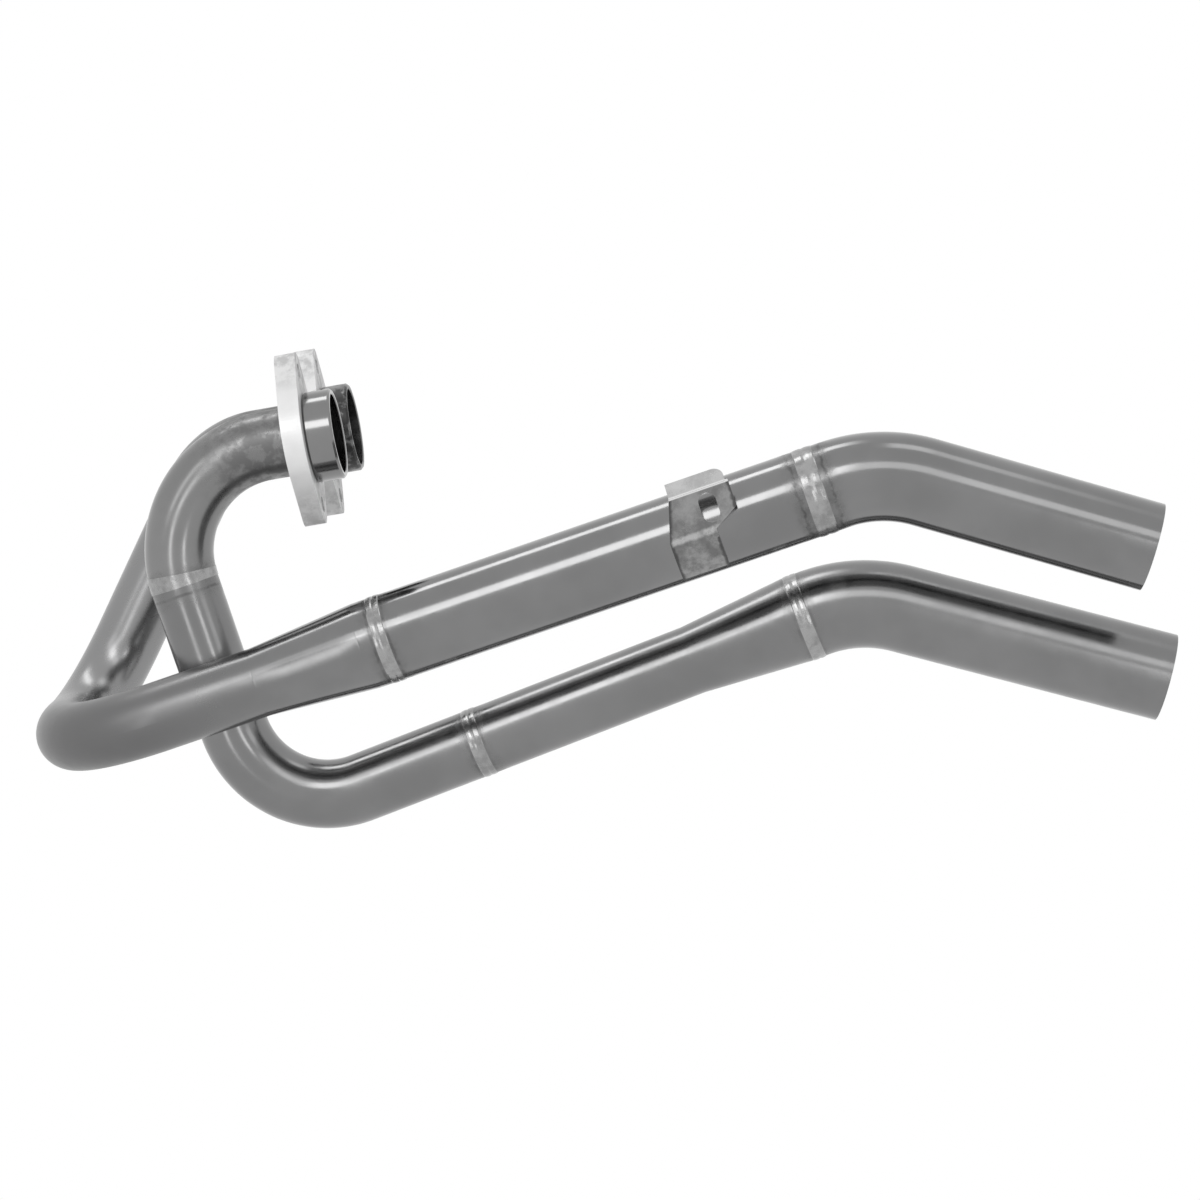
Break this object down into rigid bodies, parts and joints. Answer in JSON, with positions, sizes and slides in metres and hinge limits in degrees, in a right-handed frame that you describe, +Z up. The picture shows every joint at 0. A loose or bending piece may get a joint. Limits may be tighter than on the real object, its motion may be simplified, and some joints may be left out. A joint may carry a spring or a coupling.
{
  "type": "motorcycle exhaust header",
  "caption": "Pair of nested stepped stainless header pipes for a twin-port engine, with loose stud flanges and a folded side bracket.",
  "frame": {"origin": "centre of the near flange, on the face that presses its collar", "axes": "X to the rear of the machine, Y from the near pipe to the far port, Z up"},
  "size_m": [0.6312, 0.1771, 0.2626],
  "materials": {
    "tube_steel": "satin",
    "collar_steel": "satin",
    "flange_steel": "satin",
    "weld": "rough",
    "bracket_steel": "satin"
  },
  "bodies": {
    "root": {"inlet_tube_near": "tube_steel", "head_bend_near": "tube_steel", "leg_tube_near": "tube_steel", "lower_bend_near": "tube_steel", "lead_tube_near": "tube_steel", "mid_tube_near": "tube_steel", "tail_bend_near": "tube_steel", "outlet_tube_near": "tube_steel", "inlet_tube_far": "tube_steel", "head_bend_far": "tube_steel", "leg_tube_far": "tube_steel", "side_bend_far": "tube_steel", "front_bend_far": "tube_steel", "reducer_far": "tube_steel", "run_tube_far": "tube_steel", "tail_bend_far": "tube_steel", "outlet_tube_far": "tube_steel", "collar_near": "collar_steel", "collar_far": "collar_steel", "flange_near": "flange_steel", "flange_far": "flange_steel", "weld_head_near": "weld", "weld_run_near": "weld", "weld_tail_near": "weld", "weld_run_far": "weld", "weld_tail_far": "weld", "side_bracket": "bracket_steel"}
  },
  "joints": []
}
